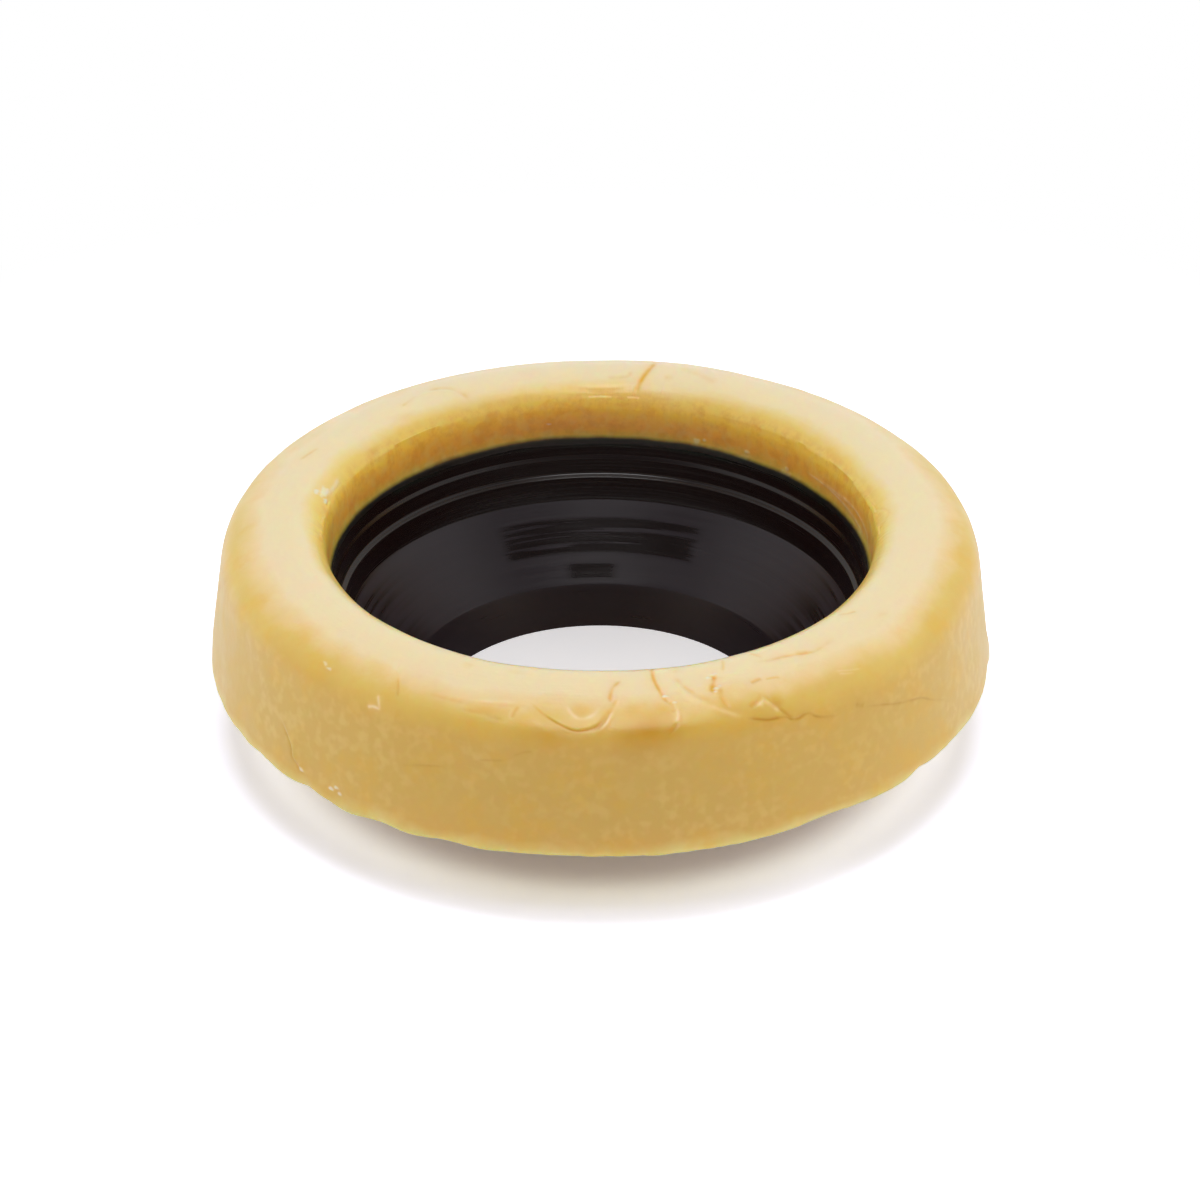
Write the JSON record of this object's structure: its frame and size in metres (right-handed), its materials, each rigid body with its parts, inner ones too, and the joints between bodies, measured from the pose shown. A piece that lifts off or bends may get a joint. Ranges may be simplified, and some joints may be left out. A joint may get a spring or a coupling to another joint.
{
  "type": "toilet pan seal",
  "caption": "Ring of soft wax cast round a black polyethylene funnel sleeve, squeezed between a toilet pan's outlet and the floor flange to seal the joint.",
  "frame": {"origin": "on the axis, level with the lower end of the sleeve, which the seal stands on", "axes": "+Z along the axis, from the sleeve's lower end up to the crest of the wax"},
  "size_m": [0.127, 0.127, 0.0376],
  "materials": {
    "wax": "soft cast wax, cloudy amber, satin",
    "polyethylene": "moulded black polyethylene, half gloss"
  },
  "bodies": {
    "root": {"wax_ring": "wax", "sleeve": "polyethylene"}
  },
  "joints": []
}
